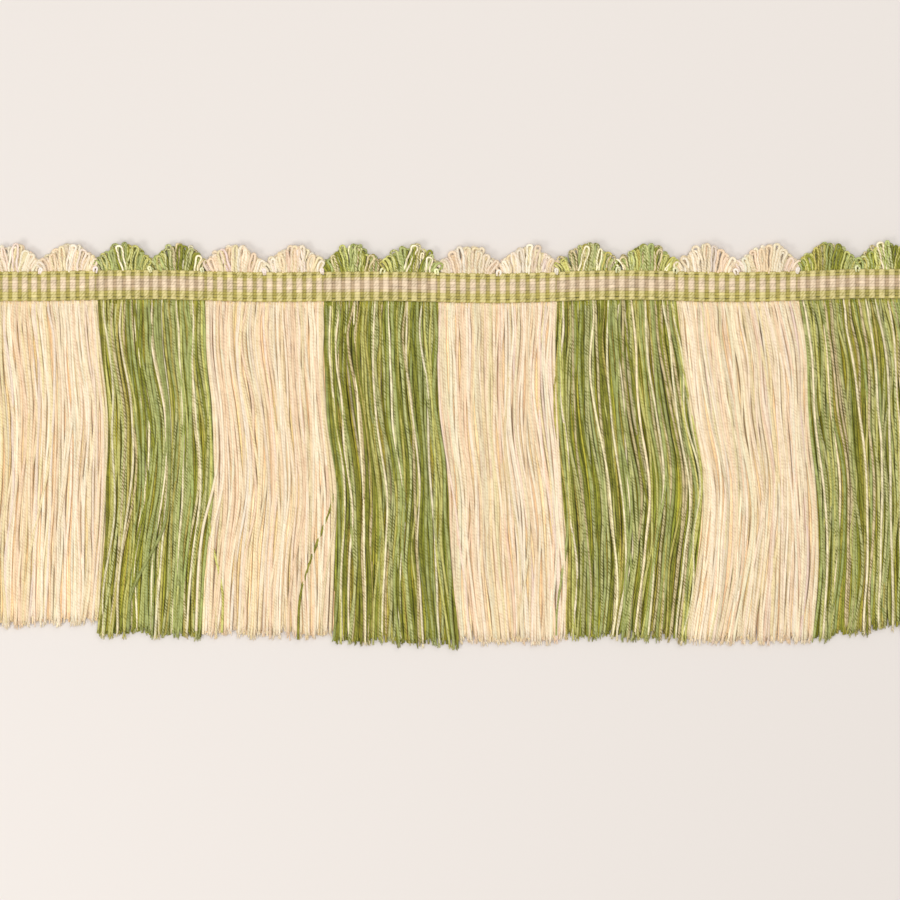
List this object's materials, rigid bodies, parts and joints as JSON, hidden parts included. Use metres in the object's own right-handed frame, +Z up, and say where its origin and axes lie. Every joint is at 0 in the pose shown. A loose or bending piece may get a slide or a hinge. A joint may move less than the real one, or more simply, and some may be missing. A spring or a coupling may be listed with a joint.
{
  "type": "cut fringe trim",
  "caption": "Flat length of cut fringe trim: a narrow ribbed woven heading with a scalloped looped crown above and a long cut yarn skirt below, in alternating cream and green blocks.",
  "frame": {"origin": "middle of the footprint, on the surface that the trim lies on", "axes": "+X along the trim, +Y from the cut tips of the skirt towards the looped crown, +Z up out of the surface, through the thickness"},
  "size_m": [0.2366, 0.1008, 0.0028],
  "materials": {
    "heading_weave": "ribbed weave of fine olive and beige cotton warps, matt",
    "cream_yarn": "two-ply cotton and viscose yarn in ivory and pale peach, matt with a slight sheen",
    "green_yarn": "two-ply cotton and viscose yarn, leaf green, lime and ivory mixed, matt with a slight sheen"
  },
  "bodies": {
    "root": {"heading": "heading_weave", "crown_cream_1": "cream_yarn", "crown_green_1": "green_yarn", "crown_cream_2": "cream_yarn", "crown_green_2": "green_yarn", "crown_cream_3": "cream_yarn", "crown_green_3": "green_yarn", "crown_cream_4": "cream_yarn", "crown_green_4": "green_yarn", "skirt_cream_1": "cream_yarn", "skirt_green_1": "green_yarn", "skirt_cream_2": "cream_yarn", "skirt_green_2": "green_yarn", "skirt_cream_3": "cream_yarn", "skirt_green_3": "green_yarn", "skirt_cream_4": "cream_yarn", "skirt_green_4": "green_yarn"}
  },
  "joints": []
}
